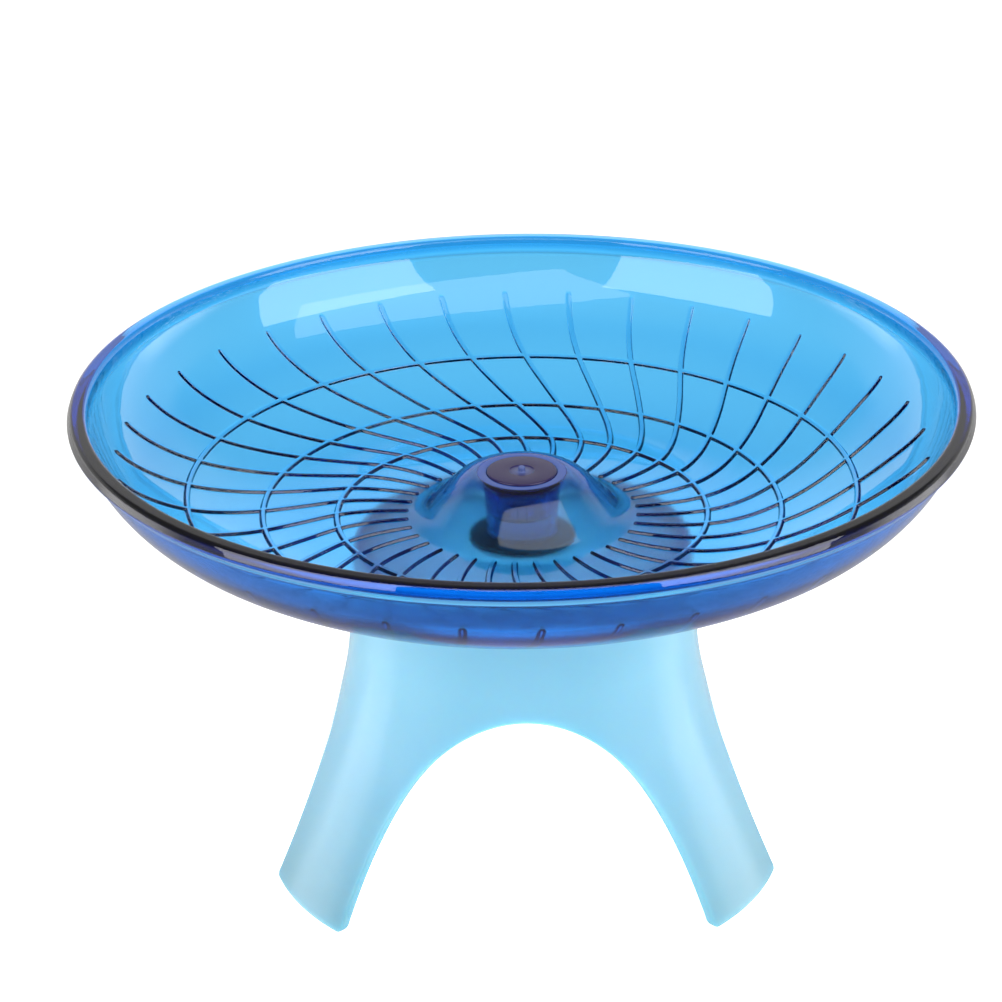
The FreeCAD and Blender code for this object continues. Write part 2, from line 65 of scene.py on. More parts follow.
def round_corners(pts, radii, closed=False, n=4):
    """A polyline in (r, z) with each corner rounded by its own radius."""
    out = []
    m = len(pts)
    for i, p in enumerate(pts):
        rad = radii[i] if i < len(radii) else 0.0
        if rad <= 0 or (not closed and i in (0, m - 1)):
            out.append(p)
            continue
        a = pts[(i - 1) % m]
        b = pts[(i + 1) % m]
        da = (a[0] - p[0], a[1] - p[1])
        db = (b[0] - p[0], b[1] - p[1])
        la, lb = math.hypot(*da), math.hypot(*db)
        da = (da[0] / la, da[1] / la)
        db = (db[0] / lb, db[1] / lb)
        cosv = max(-1.0, min(1.0, da[0] * db[0] + da[1] * db[1]))
        half = math.acos(cosv) / 2
        cut = min(rad / max(math.tan(half), 1e-6), 0.48 * la, 0.48 * lb)
        s = (p[0] + da[0] * cut, p[1] + da[1] * cut)
        e = (p[0] + db[0] * cut, p[1] + db[1] * cut)
        for k in range(n + 1):
            t = k / n
            out.append(((1 - t) ** 2 * s[0] + 2 * t * (1 - t) * p[0] + t * t * e[0],
                        (1 - t) ** 2 * s[1] + 2 * t * (1 - t) * p[1] + t * t * e[1]))
    return out


def lathe(name, prof, n=128, closed=True):
    """Turns a profile about Z. A point at r = 0 becomes a single pole vertex."""
    verts, rows = [], []
    for r, z in prof:
        if r < 1e-6:
            rows.append([len(verts)])
            verts.append((0.0, 0.0, z))
        else:
            rows.append(list(range(len(verts), len(verts) + n)))
            for j in range(n):
                a = 2 * math.pi * j / n
                verts.append((r * math.cos(a), r * math.sin(a), z))
    faces = []
    m = len(rows)
    for i in range(m if closed else m - 1):
        a, b = rows[i], rows[(i + 1) % m]
        if len(a) == 1 and len(b) == 1:
            continue
        for j in range(n):
            k = (j + 1) % n
            if len(a) == 1:
                faces.append((a[0], b[j], b[k]))
            elif len(b) == 1:
                faces.append((a[j], b[0], a[k]))
            else:
                faces.append((a[j], b[j], b[k], a[k]))
    obj = new_object(name, verts, faces)
    outward(obj)
    return obj


def outward(obj):
    """Turns the faces of a closed mesh so that they look out."""
    import bmesh
    bm = bmesh.new()
    bm.from_mesh(obj.data)
    bmesh.ops.recalc_face_normals(bm, faces=bm.faces)
    if bm.calc_volume(signed=True) < 0:
        bmesh.ops.reverse_faces(bm, faces=bm.faces)
    bm.to_mesh(obj.data)
    bm.free()
    obj.data.update()


def place(obj, body, slot, *nodes):
    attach(obj, body)
    if nodes:
        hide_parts(*nodes)


# ================================================================== dimensions
RIM_R, RIM_TOP = 90.62, 103.24
FLOOR_Z, FLOOR_R, DISH_T = 76.1, 40.0, 2.0
WALL_ARC, WALL_TURN, BEND_ARC, BEND_TURN = 63.5, 36.0, 25.0, 67.6
LIP_BEND, BAND_TURN = 12.0, 80.4
OUT_ARC, OUT_ARC_C, OUT_BEND_C = 67.66, (40.35, 141.76), (60.10, 109.97)
LIP_R, EDGE_R, EDGE_C = 1.0, 1.08, (89.24, 102.10)
NOSE_R, NOSE_Z, NOSE_END, LIP_FILLET = 0.8, 101.39, -46.4, 2.32
RIB_N, RIB_H = 36, 0.5
RIB_R0, RIB_R1, RIB_PHASE = 23.2, 81.8, 5.8
RING_R = (37.7, 52.7, 67.8)
SPIRAL = ((23.2, 0.0), (30.0, 1.1), (37.7, 4.2), (45.2, 9.3), (52.7, 14.6),
          (60.2, 19.1), (67.8, 22.9), (75.0, 25.2), (81.8, 26.2))
CROWN_Z, CROWN_R, SHOULDER_ARC = 85.3, 8.5, 8.0
FLARE_ARC, FLARE_R = 6.0, 23.5
BOSS_R, BOSS_Z0, SEAT_R, WELL_R = 7.25, 72.0, 5.5, 4.8
CAP_SEAT_R, CAP_SEAT_Z = 7.22, 85.0
BRG_TOP = 76.4


def polar(c, rad, deg):
    return (c[0] + rad * math.cos(math.radians(deg)), c[1] + rad * math.sin(math.radians(deg)))


def tangent(a, ra, b, rb):
    """Direction, in degrees, of the touch points of the line over two circles."""
    d = (b[0] - a[0], b[1] - a[1])
    return math.degrees(math.atan2(d[1], d[0]) + math.acos((ra - rb) / math.hypot(*d)))


# centres of the wall's two inner sweeps, which share a tangent at WALL_TURN
SWEEP_C = (FLOOR_R, FLOOR_Z + WALL_ARC)
BEND_C = polar(SWEEP_C, WALL_ARC - BEND_ARC, WALL_TURN - 90)
SWEEP_END_R = polar(SWEEP_C, WALL_ARC, WALL_TURN - 90)[0]


def wall(r):
    """Height of the running surface at radius r, and its slope."""
    if r <= FLOOR_R:
        return FLOOR_Z, 0.0
    c, rad = (SWEEP_C, WALL_ARC) if r <= SWEEP_END_R else (BEND_C, BEND_ARC)
    s = math.asin((r - c[0]) / rad)
    return c[1] - rad * math.cos(s), s


def spiral_deg(r):
    t = SPIRAL
    n = len(t)
    h = [t[i + 1][0] - t[i][0] for i in range(n - 1)]
    d = [(t[i + 1][1] - t[i][1]) / h[i] for i in range(n - 1)]
    m = [0.0] * n
    m[0] = 0.05
    m[-1] = d[-1] * 0.6
    for i in range(1, n - 1):
        m[i] = (h[i - 1] * d[i] + h[i] * d[i - 1]) / (h[i - 1] + h[i])
    r = min(max(r, t[0][0]), t[-1][0])
    i = 0
    while i < n - 2 and r > t[i + 1][0]:
        i += 1
    s = (r - t[i][0]) / h[i]
    return ((2 * s ** 3 - 3 * s ** 2 + 1) * t[i][1] + (s ** 3 - 2 * s ** 2 + s) * h[i] * m[i]
            + (-2 * s ** 3 + 3 * s ** 2) * t[i + 1][1] + (s ** 3 - s ** 2) * h[i] * m[i + 1])


# ======================================================================== dish
RIB_TOP, RIB_BASE = 0.42, 0.66          # half width of a rib at its top and at its foot
LATERAL = (-0.82, -0.67, -0.59, -0.51, -0.42, -0.24, 0.0, 0.24, 0.42, 0.51, 0.59, 0.67, 0.82)
GAPS = 5                                # grid lines between two ribs


def rib_height(d):
    if d >= RIB_BASE:
        return 0.0
    crown = 0.05 * (1 - min(d / RIB_TOP, 1.0) ** 2)
    if d <= RIB_TOP:
        return RIB_H - 0.05 + crown
    t = (d - RIB_TOP) / (RIB_BASE - RIB_TOP)
    return (RIB_H - 0.05) * (1 - t * t * (3 - 2 * t))


def smooth_min(a, b, k=0.22):
    h = max(k - abs(a - b), 0.0) / k
    return min(a, b) - h * h * k * 0.25


def build_dish():
    c45 = math.sqrt(0.5)
    cs = (CROWN_R, CROWN_Z - SHOULDER_ARC)
    cf = (FLARE_R, FLOOR_Z + FLARE_ARC)
    so, fo = SHOULDER_ARC - DISH_T, FLARE_ARC + DISH_T
    a1 = (cs[0] + SHOULDER_ARC * c45, cs[1] + SHOULDER_ARC * c45)
    b1 = (cf[0] - FLARE_ARC * c45, cf[1] - FLARE_ARC * c45)
    a2 = (cs[0] + so * c45, cs[1] + so * c45)
    b2 = (cf[0] - fo * c45, cf[1] - fo * c45)

    # radii of the tread's grid lines: close together at every rib edge and end
    radii = set()
    for rr in RING_R:
        slope = wall(rr)[1]
        for d in LATERAL:
            radii.add(round(rr + d * math.cos(slope), 4))
    for d in (-0.3, -0.12, 0.0, 0.1, 0.2, 0.32, 0.46, 0.62, 0.85):
        radii.add(round(RIB_R0 + d, 4))
        radii.add(round(RIB_R1 - d, 4))
    keep = sorted(radii)
    r = 21.0
    while r < 84.8:
        if min(abs(r - k) for k in keep) > 0.4:
            radii.add(round(r, 4))
        r += 1.0 if r < 76 else 0.6
    tread = sorted(radii)

    # (r, z, normal r, normal z, on the tread, how matt, with values above 1 for the frosted ring of painted shade)
    # round the closed section
    loop = []

    def put(pts, matt_and_shade=0.0):
        for p in pts:
            loop.append((p[0], p[1], 0.0, 0.0, False, matt_and_shade))

    def between(p, q, n):
        return [(p[0] + (q[0] - p[0]) * i / n, p[1] + (q[1] - p[1]) * i / n) for i in range(1, n)]

    # the cap's seat and the frosted ring round it, whose dark blue is painted shade
    put(round_corners([(WELL_R, CAP_SEAT_Z - 1.0), (WELL_R, CAP_SEAT_Z), (CAP_SEAT_R, CAP_SEAT_Z),
                       (CAP_SEAT_R, CROWN_Z), (CROWN_R, CROWN_Z)],
                      [0, 0.12, 0.2, 0.28, 0], n=4)[1:], 3.0)
    shoulder = arc_pts(cs, SHOULDER_ARC, 90, 45, 14, first=False)
    put(shoulder[:1], 2.2)
    put(shoulder[1:])
    put(between(a1, b1, 6))
    start = math.degrees(math.asin((tread[0] - cf[0]) / FLARE_ARC))
    put(arc_pts(cf, FLARE_ARC, 225, 270 + start, 5)[:-1])
    for r in tread:
        if r < FLARE_R:
            z = cf[1] - math.sqrt(FLARE_ARC ** 2 - (r - cf[0]) ** 2)
            nr, nz = (cf[0] - r) / FLARE_ARC, (cf[1] - z) / FLARE_ARC
        else:
            z, s = wall(r)
            nr, nz = -math.sin(s), math.cos(s)
        loop.append((r, z, nr, nz, True, 0.0))
    # up the bends and the straight band, over the lip, and round its outer edge
    put(arc_pts(BEND_C, BEND_ARC, math.degrees(wall(tread[-1])[1]) - 90, BEND_TURN - 90, 4, first=False))
    rise = polar(BEND_C, BEND_ARC - LIP_BEND, BEND_TURN - 90)
    put(arc_pts(rise, LIP_BEND, BEND_TURN - 90, BAND_TURN - 90, 8, first=False))
    band0 = polar(rise, LIP_BEND, BAND_TURN - 90)
    t = (math.cos(math.radians(BAND_TURN)), math.sin(math.radians(BAND_TURN)))
    k = (RIM_TOP - LIP_R + LIP_R * t[0] - band0[1]) / t[1]
    band1 = (band0[0] + t[0] * k, band0[1] + t[1] * k)
    lip = (band1[0] + LIP_R * t[1], RIM_TOP - LIP_R)
    nose = (RIM_R - NOSE_R, NOSE_Z)
    top = tangent(lip, LIP_R, EDGE_C, EDGE_R)
    face = tangent(EDGE_C, EDGE_R, nose, NOSE_R)
    put(between(band0, band1, 3))
    put(arc_pts(lip, LIP_R, BAND_TURN + 90, top, 12))
    put(between(polar(lip, LIP_R, top), polar(EDGE_C, EDGE_R, top), 4))
    put(arc_pts(EDGE_C, EDGE_R, top, face, 10))
    put(between(polar(EDGE_C, EDGE_R, face), polar(nose, NOSE_R, face), 3))
    put(arc_pts(nose, NOSE_R, face, NOSE_END, 12))
    # underside of the lip, the hollow fillet and the outer wall
    out_bend = OUT_ARC - math.dist(OUT_ARC_C, OUT_BEND_C)
    turn_o = math.degrees(math.atan2(OUT_BEND_C[1] - OUT_ARC_C[1], OUT_BEND_C[0] - OUT_ARC_C[0]))
    pe = polar(nose, NOSE_R, NOSE_END)
    u = (math.sin(math.radians(NOSE_END)), -math.cos(math.radians(NOSE_END)))
    w = (pe[0] - LIP_FILLET * u[1] - OUT_BEND_C[0], pe[1] + LIP_FILLET * u[0] - OUT_BEND_C[1])
    wu = w[0] * u[0] + w[1] * u[1]
    s = -wu - math.sqrt(wu ** 2 - (w[0] ** 2 + w[1] ** 2) + (out_bend + LIP_FILLET) ** 2)
    f1 = (pe[0] + u[0] * s, pe[1] + u[1] * s)
    hollow = (f1[0] - LIP_FILLET * u[1], f1[1] + LIP_FILLET * u[0])
    ang_f = math.degrees(math.atan2(hollow[1] - OUT_BEND_C[1], hollow[0] - OUT_BEND_C[0]))
    put(between(pe, f1, 3))
    put(arc_pts(hollow, LIP_FILLET, NOSE_END + 180, ang_f + 180, 9))
    put(arc_pts(OUT_BEND_C, out_bend, ang_f, turn_o, 24, first=False), 1.0)
    put(arc_pts(OUT_ARC_C, OUT_ARC, turn_o, -90, 26, first=False), 1.0)
    put(between((OUT_ARC_C[0], FLOOR_Z - DISH_T), (FLARE_R, FLOOR_Z - DISH_T), 9), 1.0)
    put(arc_pts(cf, fo, 270, 225, 9), 1.0)
    put(between(b2, a2, 5), 1.0)
    put(arc_pts(cs, so, 45, 90, 9), 1.0)
    fil = CROWN_R - BOSS_R
    zu = CROWN_Z - DISH_T
    put(arc_pts((CROWN_R, zu - fil), fil, 90, 180, 6, first=False), 1.0)
    foot = round_corners([(BOSS_R, zu - fil), (BOSS_R, BOSS_Z0), (SEAT_R, BOSS_Z0), (SEAT_R, BRG_TOP),
                          (WELL_R, BRG_TOP), (WELL_R, CAP_SEAT_Z - 1.0)], [0, 0.45, 0.2, 0.1, 0.12, 0], n=3)
    body = []
    for i in range(len(foot) - 1):
        p, q = foot[i], foot[i + 1]
        k = max(1, int(math.hypot(q[0] - p[0], q[1] - p[1]) / 1.4))
        for j in range(1, k + 1):
            body.append((p[0] + (q[0] - p[0]) * j / k, p[1] + (q[1] - p[1]) * j / k))
    put(body, 1.0)

    # angles of the grid lines at each radius: they run along the spiral ribs
    def columns(r):
        rc = min(max(r, RIB_R0), RIB_R1)
        e = 0.25
        lo, hi = max(rc - e, RIB_R0), min(rc + e, RIB_R1)
        dth = math.radians(spiral_deg(hi) - spiral_deg(lo)) / (hi - lo)
        psi = math.atan(rc * dth)
        base = math.radians(RIB_PHASE + spiral_deg(rc))
        pitch = 2 * math.pi / RIB_N
        offs = [(d, d / (rc * math.cos(psi))) for d in LATERAL]
        a, b = offs[-1][1], pitch + offs[0][1]
        for i in range(1, GAPS + 1):
            t = i / (GAPS + 1)
            offs.append((9.0, a + (b - a) * t))
        return base, pitch, offs

    verts, rows, matt_and_shade_values = [], [], []
    c0, c1 = RIB_R0 + RIB_BASE * 0.95, RIB_R1 - RIB_BASE * 0.95
    for r, z, nr, nz, on, matt_and_shade in loop:
        base, pitch, offs = columns(r)
        row = []
        heights = []
        slope = wall(r)[1] if on else 0.0
        for d, _ in offs:
            if not on:
                heights.append(0.0)
                continue
            ds = math.hypot(d, max(0.0, c0 - r, r - c1))
            dr = min(abs(r - rr) for rr in RING_R) / math.cos(slope)
            heights.append(rib_height(max(smooth_min(ds, dr), 0.0)))
        for k in range(RIB_N):
            for (d, a), h in zip(offs, heights):
                t = base + pitch * k + a
                row.append(len(verts))
                q = r + nr * h
                verts.append((q * math.cos(t), q * math.sin(t), z + nz * h))
                matt_and_shade_values.append(matt_and_shade)
        rows.append(row)
    faces = []
    m, n = len(rows), len(rows[0])
    for i in range(m):
        a, b = rows[i], rows[(i + 1) % m]
        for j in range(n):
            k = (j + 1) % n
            faces.append((a[j], b[j], b[k], a[k]))
    obj = new_object("dish_clear_shell", verts, faces)
    outward(obj)
    layer = obj.data.attributes.new("matt_and_shade", 'FLOAT', 'POINT')
    layer.data.foreach_set("value", matt_and_shade_values)
    return obj


# ======================================================================= stand
FOOT_R, KNEE_Z, KNEE_R, NECK_Z, NECK_R, TOP_Z, TOP_R = 54.0, 26.0, 42.04, 50.0, 35.9, 68.0, 34.6
STAND_T, DECK_Z, DECK_T = 2.2, 69.5, 2.4
ARCH_TOP, ARCH_K, ARCH_FOOT_X = 46.7, 0.0291, 38.3
PHI0 = math.atan2(FOOT_R - KNEE_R, KNEE_Z)
PHI1 = math.atan2(NECK_R - TOP_R, TOP_Z - NECK_Z)
RHO = (NECK_Z - KNEE_Z) / (math.sin(PHI0) - math.sin(PHI1))
BEND = (KNEE_R + RHO * math.cos(PHI0), KNEE_Z + RHO * math.sin(PHI0))
NECK = (BEND[0] - RHO * math.cos(PHI1), BEND[1] - RHO * math.sin(PHI1))


def stand_rn(z):
    """Outer radius of the stand at height z, and the slope of its normal."""
    if z <= KNEE_Z:
        return FOOT_R - z * math.tan(PHI0), PHI0
    if z >= NECK[1]:
        return NECK[0] - (z - NECK[1]) * math.tan(PHI1), PHI1
    s = (BEND[1] - z) / RHO
    return BEND[0] - RHO * math.sqrt(1 - s * s), math.asin(s)


IN_BEND = RHO + STAND_T
KNEE_I = (BEND[0] - IN_BEND * math.cos(PHI0), BEND[1] - IN_BEND * math.sin(PHI0))
NECK_I = (BEND[0] - IN_BEND * math.cos(PHI1), BEND[1] - IN_BEND * math.sin(PHI1))


def stand_in(z):
    """Inner radius of the stand at height z."""
    if z <= KNEE_I[1]:
        return KNEE_I[0] + (KNEE_I[1] - z) * math.tan(PHI0)
    if z >= NECK_I[1]:
        return NECK_I[0] - (z - NECK_I[1]) * math.tan(PHI1)
    return BEND[0] - math.sqrt(IN_BEND ** 2 - (z - BEND[1]) ** 2)


def on_stand(az, z):
    r, phi = stand_rn(z)
    n = Vector((math.cos(phi) * math.cos(az), math.cos(phi) * math.sin(az), math.sin(phi)))
    return Vector((r * math.cos(az), r * math.sin(az), z)), n


def build_stand():
    EDGE = 0.55                          # rounding of the shell's free edges
    CORNER = 1.3                         # rounding of the feet's corners
    COLS = 36                            # grid columns across one leg
    T = STAND_T

    def arch_z(x):
        return ARCH_TOP - ARCH_K * x * x * (1 + 0.10 * (x / ARCH_FOOT_X) ** 4)

    # the free edge of a leg from the crown of the arch down, as (half angle, height)
    xe = ARCH_FOOT_X - 0.6
    side = []
    for i in range(0, 47):
        x = xe * (i / 46.0) ** 0.92
        z = arch_z(x)
        side.append((math.asin(x / stand_rn(z)[0]), z))
    side = [s for s in side if s[1] > 3.2]
    kx = math.asin(xe / stand_rn(arch_z(xe))[0])
    a_ref = side[-1][0]
    for z in (2.4, 1.8, CORNER):
        t = (side[-1][1] - z) / side[-1][1]
        side.append((kx, z))
    bottom_a = kx
    for deg in (22.5, 45.0):
        t = math.radians(deg)
        side.append((bottom_a + CORNER * (1 - math.cos(t)) / FOOT_R, CORNER * (1 - math.sin(t))))
    n_side = len(side)

    verts = []

    def add(v):
        verts.append(tuple(v))
        return len(verts) - 1

    faces = []
    third = 2 * math.pi / 3
    half = third / 2

    # strip round a free edge: (distance in from the edge, depth under the outer face)
    strip = []
    for i in range(5):
        t = math.radians(90 * i / 4)
        strip.append((EDGE * (1 - math.sin(t)), EDGE * (1 - math.cos(t))))
    strip.append((0.0, T / 2))
    for i in range(5):
        t = math.radians(90 * i / 4)
        strip.append((EDGE * (1 - math.cos(t)), T - EDGE * (1 - math.sin(t))))
    K = len(strip)

    outer_rows_top = None
    legs = []
    for leg in range(3):
        mid = math.radians(-30) + third * leg          # azimuth of the leg's middle
        # boundary points, from the right crown down, along the foot, and up the left side
        bnd = []
        for a, z in side:
            bnd.append((mid + half - a, z))
        # the bottom, between the two corner mid points
        first = bnd[-1][0]
        last = 2 * mid - first
        span = []
        for deg in (67.5, 90.0):
            t = math.radians(deg)
            span.append(half - (bottom_a + CORNER * (1 - math.cos(t)) / FOOT_R))
        inner_half = span[-1]
        cols = COLS
        bottom = []
        for j in range(cols + 1):
            u = 1 - 2 * j / cols                       # +1 at the right side, -1 at the left
            bottom.append(u)
        # angles of the bottom row: corner mid point, rest of the corner arc, then even steps
        edge_half = half - side[-1][0]
        angs = []
        for j in range(cols + 1):
            u = bottom[j]
            if j == 0 or j == cols:
                angs.append((math.copysign(edge_half, u), side[-1][1]))
            elif j in (1, cols - 1):
                angs.append((math.copysign(span[0], u), CORNER * (1 - math.sin(math.radians(67.5)))))
            else:
                v = (cols - 2 * j) / (cols - 4)
                angs.append((inner_half * max(-1, min(1, v)), 0.0))
        path = [(mid + half - a, z) for a, z in side[:-1]]
        path += [(mid + a, z) for a, z in angs]
        path += [(mid - half + a, z) for a, z in reversed(side[:-1])]
        pts = [on_stand(a, z) for a, z in path]
        q = []
        for i, (p, nrm) in enumerate(pts):
            if i == 0 or i == len(pts) - 1:
                a = path[i][0]
                tan = Vector((math.sin(a), -math.cos(a), 0.0))
            else:
                tan = (pts[i + 1][0] - pts[i - 1][0])
            tan = tan.normalized()
            into = tan.cross(nrm).normalized()
            mid_p = on_stand(mid, 60.0)[0]
            if i not in (0, len(pts) - 1):
                if into.dot(mid_p - p) < 0:
                    into = -into
            elif into.z < 0:
                into = -into
            # the edge runs straight in towards the axis, so the soles stay level
            inward = Vector((-math.cos(path[i][0]), -math.sin(path[i][0]), 0.0))
            row = []
            for e, d in strip:
                v = p + into * e
                row.append(v + inward * (d * (stand_rn(v.z)[0] - stand_in(v.z)) / T))
            q.append(row)
        legs.append((mid, path, q))

    # crown strips are shared by neighbouring legs
    crown_ids = {}

    def strip_ids(leg, i, total):
        if i == 0:
            key = leg % 3                              # crown between this leg and the next
        elif i == total - 1:
            key = (leg - 1) % 3
        else:
            key = None
        if key is not None and key in crown_ids:
            return crown_ids[key]
        ids = [add(v) for v in legs[leg][2][i]]
        if key is not None:
            crown_ids[key] = ids
        return ids

    outer_first, inner_first = [], []
    for leg in range(3):
        mid, path, q = legs[leg]
        total = len(path)
        ids = [strip_ids(leg, i, total) for i in range(total)]
        # the free edge
        for i in range(total - 1):
            for k in range(K - 1):
                faces.append((ids[i][k], ids[i + 1][k], ids[i + 1][k + 1], ids[i][k + 1]))
        # face grids: rows follow the side points, columns run across the leg
        n_rows = n_side                                # the last one is the bottom row
        for layer in (0, 1):
            pick = 0 if layer == 0 else K - 1
            grid = []
            for i in range(n_rows - 1):
                right, left = ids[i][pick], ids[total - 1 - i][pick]
                pr, pl = Vector(verts[right]), Vector(verts[left])
                ar = math.atan2(pr.y, pr.x)
                al = math.atan2(pl.y, pl.x)
                while ar < al:
                    ar += 2 * math.pi
                am = 0.5 * (ar + al)
                # even heights down the middle of the leg, bending to meet its free edges
                zi = 46.9 - (46.9 - 1.5) * i / (n_rows - 2)
                row = [right]
                for j in range(1, COLS):
                    u = 1 - 2 * j / COLS
                    a = am + u * (ar - al) / 2
                    w = abs(u) ** 2.5
                    z = zi * (1 - w) + (pr.z if u > 0 else pl.z) * w
                    r = stand_rn(z)[0] if layer == 0 else stand_in(z)
                    row.append(add((r * math.cos(a), r * math.sin(a), z)))
                row.append(left)
                grid.append(row)
            grid.append([ids[n_side - 1 + j][pick] for j in range(COLS + 1)])
            for i in range(len(grid) - 1):
                for j in range(COLS):
                    f = (grid[i][j], grid[i][j + 1], grid[i + 1][j + 1], grid[i + 1][j])
                    faces.append(f if layer == 0 else f[::-1])
            (outer_first if layer == 0 else inner_first).append(grid[0])

    def ring_from(firsts):
        """The full ring over the crowns, in order of azimuth."""
        ring = []
        for leg in range(3):
            row = list(reversed(firsts[leg]))           # from the leg's left crown to its right one
            ring += row[:-1]
        return ring

    top_ring = ring_from(outer_first)
    in_ring = ring_from(inner_first)
    N = len(top_ring)
    azs = [math.atan2(verts[v][1], verts[v][0]) for v in top_ring]
    azi = [math.atan2(verts[v][1], verts[v][0]) for v in in_ring]

    def bridge(a, b):
        for j in range(N):
            k = (j + 1) % N
            faces.append((a[j], a[k], b[k], b[j]))

    # up the outside, over the deck, down the bore and back along the inside
    er = 1.5
    prof = []
    for z in (48.3, 49.8, 52.0, 55.0, 58.5, 62.0, 65.2):
        prof.append((stand_rn(z)[0], z))
    tr = stand_rn(DECK_Z - er)[0]
    prof += arc_pts((tr - er, DECK_Z - er), er, 3, 90, 7)
    for r in (30.0, 26.0, 21.0, 16.0, 12.5):
        prof.append((r, DECK_Z))
    # the deck runs on flat round the spacer, then the bore
    prof += [(10.6, DECK_Z), (9.9, DECK_Z), (6.0, DECK_Z), (3.0, DECK_Z)]
    prof += round_corners([(3.0, DECK_Z), (2.15, DECK_Z), (2.15, 66.0), (4.0, 66.0)], [0, 0.2, 0.2, 0], n=3)[1:-1]
    under = DECK_Z - DECK_T
    prof += round_corners([(4.0, 66.0), (9.0, 66.0), (9.6, under), (14.0, under)], [0, 0.3, 0.5, 0], n=3)
    fi = 2.0
    ri = stand_rn(under - fi)[0] - T / math.cos(PHI1)
    prof += [(20.0, under), (26.0, under)]
    prof += arc_pts((ri - fi, under - fi), fi, 90, 3, 6)
    for z in (61.0, 57.0, 53.5, 51.0, 49.6, 48.4):
        prof.append((stand_in(z), z))
    prev = top_ring
    m = len(prof)
    for i, (r, z) in enumerate(prof):
        t = i / (m - 1)
        ring = []
        for j in range(N):
            a = azs[j]
            ring.append(add((r * math.cos(a), r * math.sin(a), z)))
        bridge(prev, ring)
        prev = ring
    bridge(prev, in_ring)
    obj = new_object("stand_three_leg_shell", verts, faces)
    outward(obj)
    # the thin deck lets more light through than the rest of the shell
    thin = []
    for x, y, z in verts:
        r = math.hypot(x, y)
        thin.append(min(max((33.4 - r) / 1.4, 0.0), 1.0) if z > 66.8 and r > 9.8 else 0.0)
    layer = obj.data.attributes.new("thin", 'FLOAT', 'POINT')
    layer.data.foreach_set("value", thin)
    return obj


# ================================================================ small pieces
def build_cap():
    z = 85.6
    prof = [(0.0, 86.5), (0.18, 86.5)]
    prof += arc_pts((0.35, 86.15), 0.35, 90, 0, 6)
    prof += round_corners([(0.7, 86.1), (0.7, 85.45), (2.35, 85.45), (2.6, z), (7.15, z), (7.15, 85.0),
                           (4.75, 85.0), (4.75, 81.5), (3.6, 81.5), (3.6, 83.7), (0.0, 83.7)],
                          [0, 0.2, 0.15, 0.2, 0.5, 0.12, 0.1, 0.3, 0.1, 0.3, 0], n=5)[1:]
    return lathe("hub_cap_disc", prof, 144, closed=False)


def build_spacer():
    z0, z1 = 69.5, 72.4
    prof = round_corners([(2.03, z0), (10.8, z0), (10.8, 71.65), (2.85, 71.65), (2.85, z1), (2.03, z1)],
                         [0.15, 0.35, 0.45, 0.2, 0.15, 0.15], closed=True, n=4)
    return lathe("thrust_spacer_ring", prof, 128)


def build_bolt():
    """Hexagon head with a turned face, and a rolled thread."""
    z1, hh = 65.2, 2.8
    pitch, r_out, r_in = 0.7, 1.97, 1.62
    n = 48
    verts, rows = [], []

    def ring(f, z):
        rows.append([len(verts) + j for j in range(n)])
        for j in range(n):
            a = 2 * math.pi * j / n
            r = f(a)
            verts.append((r * math.cos(a), r * math.sin(a), z))

    af = 3.5

    def hexr(k, lim):
        def f(a):
            b = (a + math.pi / 6) % (math.pi / 3) - math.pi / 6
            return min(af * k / math.cos(b), lim)
        return f

    z0 = z1 - hh
    for k, lim, z in ((0.30, 9, z0), (0.72, 9, z0), (0.90, 3.22, z0), (0.965, 3.42, z0 + 0.05), (0.99, 3.62, z0 + 0.16),
                      (1.0, 3.80, z0 + 0.30), (1.0, 4.03, z0 + 0.52), (1.0, 4.03, z0 + 1.4), (1.0, 4.03, z1 - 0.42),
                      (1.0, 3.86, z1 - 0.28), (0.99, 3.66, z1 - 0.12), (0.97, 3.48, z1), (0.80, 3.0, z1)):
        ring(hexr(k, lim), z)
    tip = 81.2
    steps = int((tip - z1) / pitch * 12)
    for i in range(steps + 1):
        z = z1 + (tip - z1) * i / steps
        up = min(1.0, (z - z1) / 0.9)
        cut = min(r_out, r_out - 0.55 + (tip - z))

        def f(a, z=z, up=up, cut=cut):
            t = (z / pitch - a / (2 * math.pi)) % 1.0
            w = abs(2 * t - 1)
            w = min(max((w - 0.12) / 0.72, 0.0), 1.0)
            return min(r_out - (r_out - r_in) * w * up, cut)
        ring(f, z)
    faces = []
    for i in range(len(rows) - 1):
        for j in range(n):
            k = (j + 1) % n
            faces.append((rows[i][j], rows[i + 1][j], rows[i + 1][k], rows[i][k]))
    for row, z in ((rows[0], z0), (rows[-1], tip)):
        c = len(verts)
        verts.append((0, 0, z))
        for j in range(n):
            faces.append((row[j], row[(j + 1) % n], c))
    obj = new_object("axle_bolt_threaded", verts, faces)
    outward(obj)
    return obj


# =================================================================== materials
def material(name):
    m = bpy.data.materials.new(name)
    m.use_nodes = True
    nt = m.node_tree
    for n in list(nt.nodes):
        nt.nodes.remove(n)
    out = nt.nodes.new("ShaderNodeOutputMaterial")
    bsdf = nt.nodes.new("ShaderNodeBsdfPrincipled")
    nt.links.new(bsdf.outputs[0], out.inputs["Surface"])
    return m, nt, bsdf, out


def coords(nt, scale=1.0):
    """Object coordinates in millimetres, times scale."""
    tc = nt.nodes.new("ShaderNodeTexCoord")
    mp = nt.nodes.new("ShaderNodeMapping")
    for i in range(3):
        mp.inputs["Scale"].default_value[i] = 1000.0 * scale
    nt.links.new(tc.outputs["Object"], mp.inputs["Vector"])
    return mp.outputs["Vector"]


def noise(nt, vec, scale, detail=3.0, rough=0.55):
    n = nt.nodes.new("ShaderNodeTexNoise")
    n.inputs["Scale"].default_value = scale
    n.inputs["Detail"].default_value = detail
    n.inputs["Roughness"].default_value = rough
    nt.links.new(vec, n.inputs["Vector"])
    return n.outputs["Fac"]


